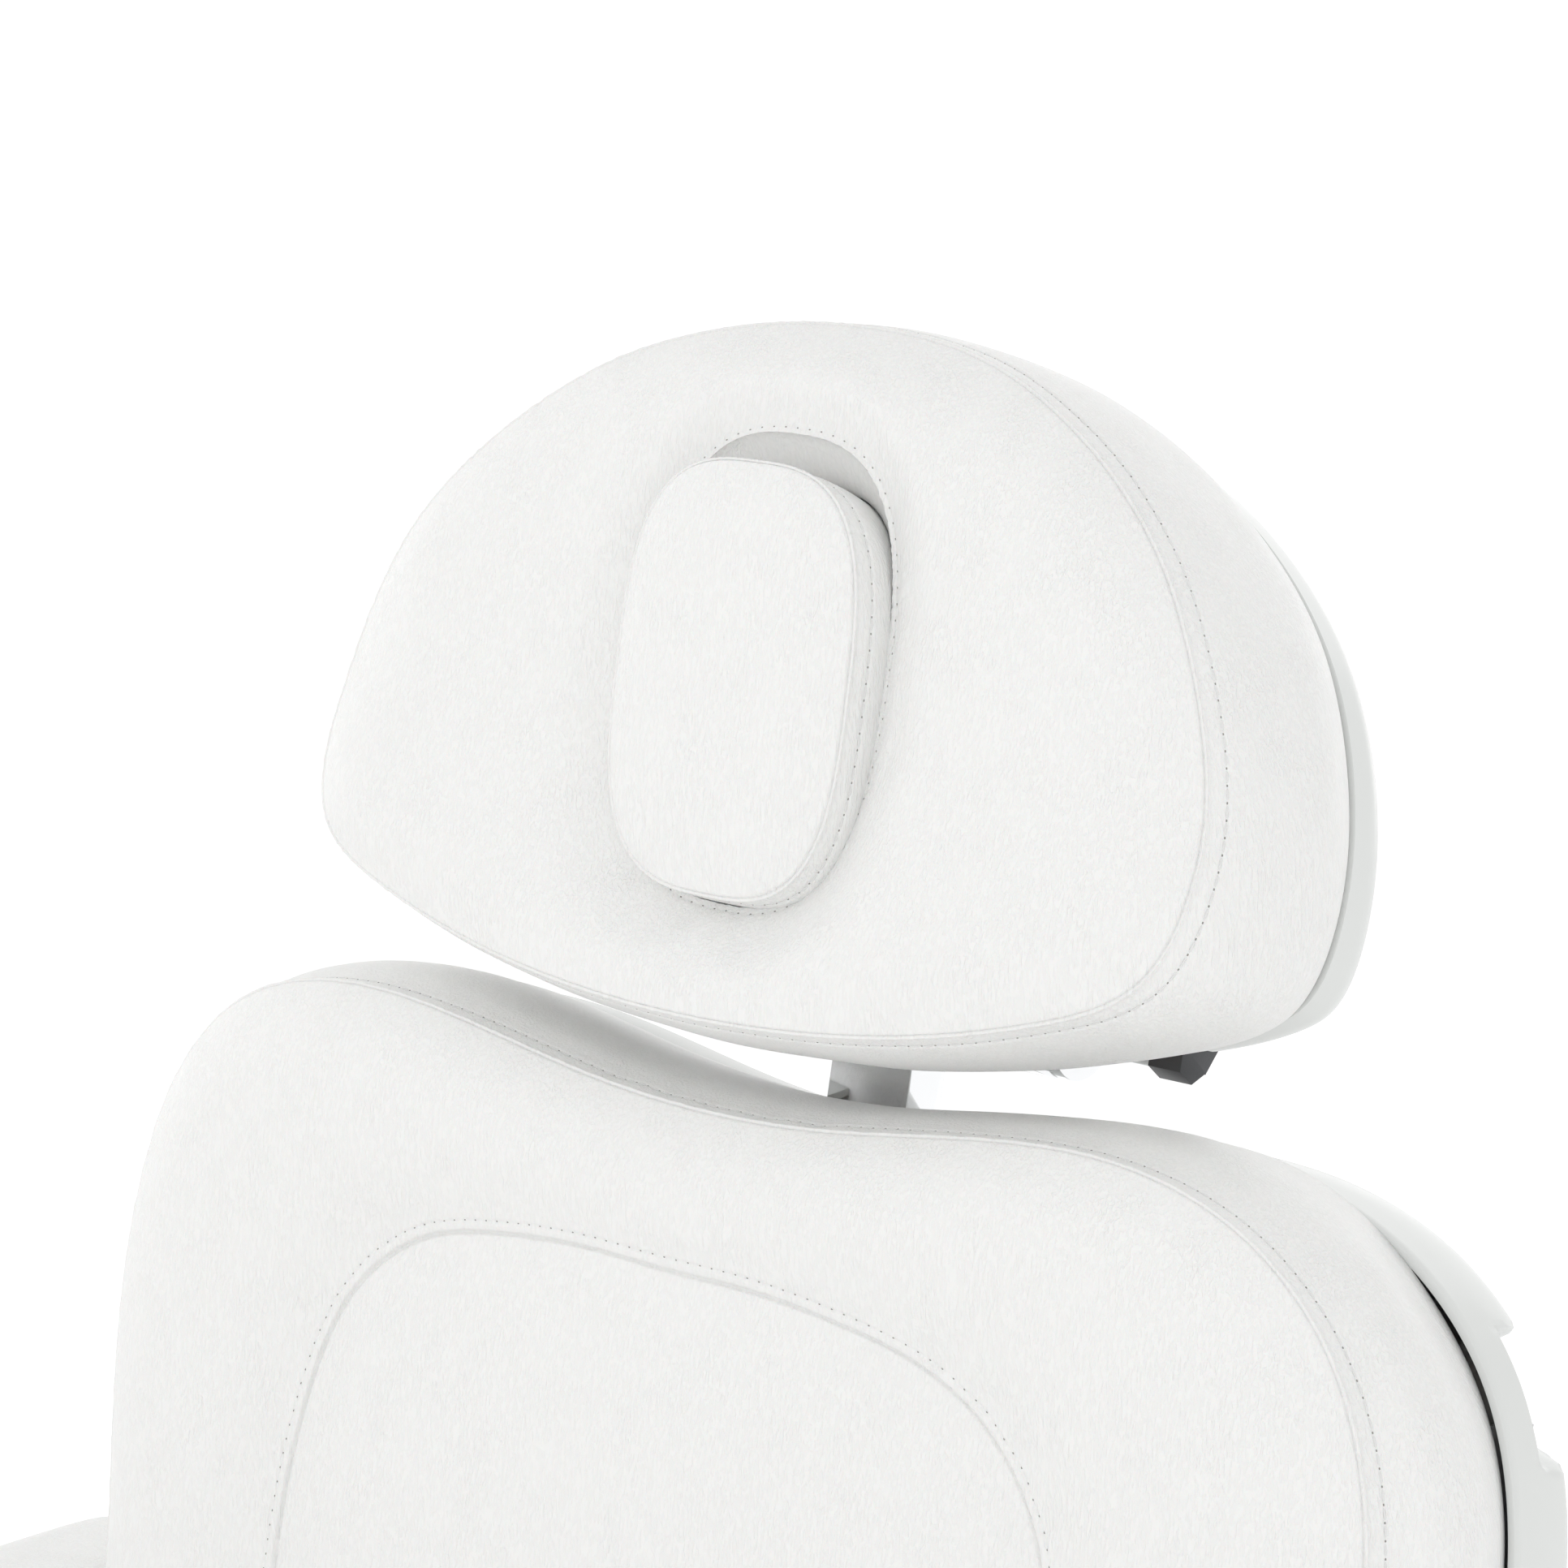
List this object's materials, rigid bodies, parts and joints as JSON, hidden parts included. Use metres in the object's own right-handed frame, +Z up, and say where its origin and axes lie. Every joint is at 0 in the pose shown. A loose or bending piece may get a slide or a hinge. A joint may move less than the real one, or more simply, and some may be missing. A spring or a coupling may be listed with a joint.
{
  "type": "beauty treatment chair",
  "caption": "Powered treatment chair with a lifting column, reclining back, raising leg rest, fold-up armrests and a sliding, tilting headrest with a face hole and plug.",
  "frame": {"origin": "on the floor under the middle of the chair, seen from above, in the pictured pose", "axes": "+Z up, the sitter faces -Y, +X is the sitter's left"},
  "size_m": [0.87, 1.1433, 1.3957],
  "materials": {
    "white_leather": "satin",
    "grey_shell": "satin",
    "painted_steel": "satin",
    "chromed_steel": "polished",
    "zinc_steel": "satin",
    "dark_plastic": "matte",
    "plywood": "matte",
    "black_rubber": "matte"
  },
  "bodies": {
    "base": {"base_frame": "painted_steel", "levelling_feet": "black_rubber", "base_cover": "grey_shell", "control_box": "dark_plastic", "mains_inlet": "dark_plastic", "handset_socket": "dark_plastic", "column_outer": "painted_steel", "upper_glides": "dark_plastic", "lift_motor_tube": "dark_plastic", "shroud_lower": "grey_shell"},
    "seat_unit": {"column_inner": "painted_steel", "lower_glides": "dark_plastic", "lift_rod": "chromed_steel", "shroud_upper": "grey_shell", "lift_head": "painted_steel", "seat_frame": "painted_steel", "seat_board": "plywood", "seat_cushion": "white_leather", "seat_bolts": "zinc_steel", "side_cover_left": "grey_shell", "side_cover_right": "grey_shell", "rear_hinge_pins": "zinc_steel", "front_hinge_pins": "zinc_steel", "back_actuator": "dark_plastic", "leg_actuator": "dark_plastic"},
    "backrest": {"backrest_frame": "painted_steel", "backrest_board": "plywood", "backrest_cushion": "white_leather", "backrest_shell": "grey_shell", "backrest_bolts": "zinc_steel", "bar_guide": "painted_steel", "armrest_pins": "zinc_steel"},
    "knob": {"height_knob": "dark_plastic"},
    "bar": {"headrest_bar": "chromed_steel", "bar_end_cap": "dark_plastic"},
    "headrest": {"headrest_bracket": "painted_steel", "headrest_board": "plywood", "headrest_cushion": "white_leather", "headrest_shell": "grey_shell", "headrest_pin": "chromed_steel", "tilt_clamp": "chromed_steel"},
    "lever": {"tilt_lever": "dark_plastic"},
    "plug": {"headrest_plug": "white_leather"},
    "armrest_left": {"arm_left": "painted_steel", "arm_board_left": "plywood", "arm_pad_left": "white_leather"},
    "armrest_right": {"arm_right": "painted_steel", "arm_board_right": "plywood", "arm_pad_right": "white_leather"},
    "legrest": {"legrest_frame": "painted_steel", "legrest_board": "plywood", "legrest_cushion": "white_leather", "legrest_shell": "grey_shell", "legrest_bolts": "zinc_steel"},
    "back_push_rod": {"back_rod": "chromed_steel"},
    "leg_push_rod": {"leg_rod": "chromed_steel"}
  },
  "joints": [
    {"name": "lift", "type": "slide", "parent": "base", "child": "seat_unit", "axis": [0, 0, 1], "range_m": [0, 0.26]},
    {"name": "recline", "type": "hinge", "parent": "seat_unit", "child": "backrest", "pos_m": [0, 0.328, 0.54], "axis": [-1, 0, 0], "range_deg": [0, 72]},
    {"name": "leg_lift", "type": "hinge", "parent": "seat_unit", "child": "legrest", "pos_m": [0, -0.192, 0.54], "axis": [-1, 0, 0], "range_deg": [-20, 45]},
    {"name": "back_push", "type": "slide", "parent": "seat_unit", "child": "back_push_rod", "axis": [0, -1, 0], "range_m": [0, 0.134]},
    {"name": "leg_push", "type": "slide", "parent": "seat_unit", "child": "leg_push_rod", "axis": [0, -1, 0], "range_m": [-0.037, 0.082]},
    {"name": "headrest_height", "type": "slide", "parent": "backrest", "child": "bar", "axis": [0, 0.2028, 0.9792], "range_m": [0, 0.1]},
    {"name": "headrest_tilt", "type": "hinge", "parent": "bar", "child": "headrest", "pos_m": [0, 0.49784, 1.13798], "axis": [-1, 0, 0], "range_deg": [-5, 50]},
    {"name": "tilt_lock", "type": "hinge", "parent": "headrest", "child": "lever", "pos_m": [0.1375, 0.49784, 1.13798], "axis": [-1, 0, 0], "range_deg": [0, 35]},
    {"name": "height_lock", "type": "hinge", "parent": "backrest", "child": "knob", "pos_m": [0, 0.4833, 1.01845], "axis": [0, 0.9792, -0.2028], "range_deg": [0, 180]},
    {"name": "plug_out", "type": "slide", "parent": "headrest", "child": "plug", "axis": [0, -0.9157, 0.4019], "range_m": [0, 0.12]},
    {"name": "armrest_left_fold", "type": "hinge", "parent": "backrest", "child": "armrest_left", "pos_m": [0.38, 0.42349, 0.78166], "axis": [-1, 0, 0], "range_deg": [0, 95]},
    {"name": "armrest_right_fold", "type": "hinge", "parent": "backrest", "child": "armrest_right", "pos_m": [-0.38, 0.42349, 0.78166], "axis": [-1, 0, 0], "range_deg": [0, 95]}
  ],
  "couplings": [
    {"joint": "back_push", "follows": "recline", "m_per_rad": 0.10593},
    {"joint": "leg_push", "follows": "leg_lift", "m_per_rad": 0.10355}
  ]
}
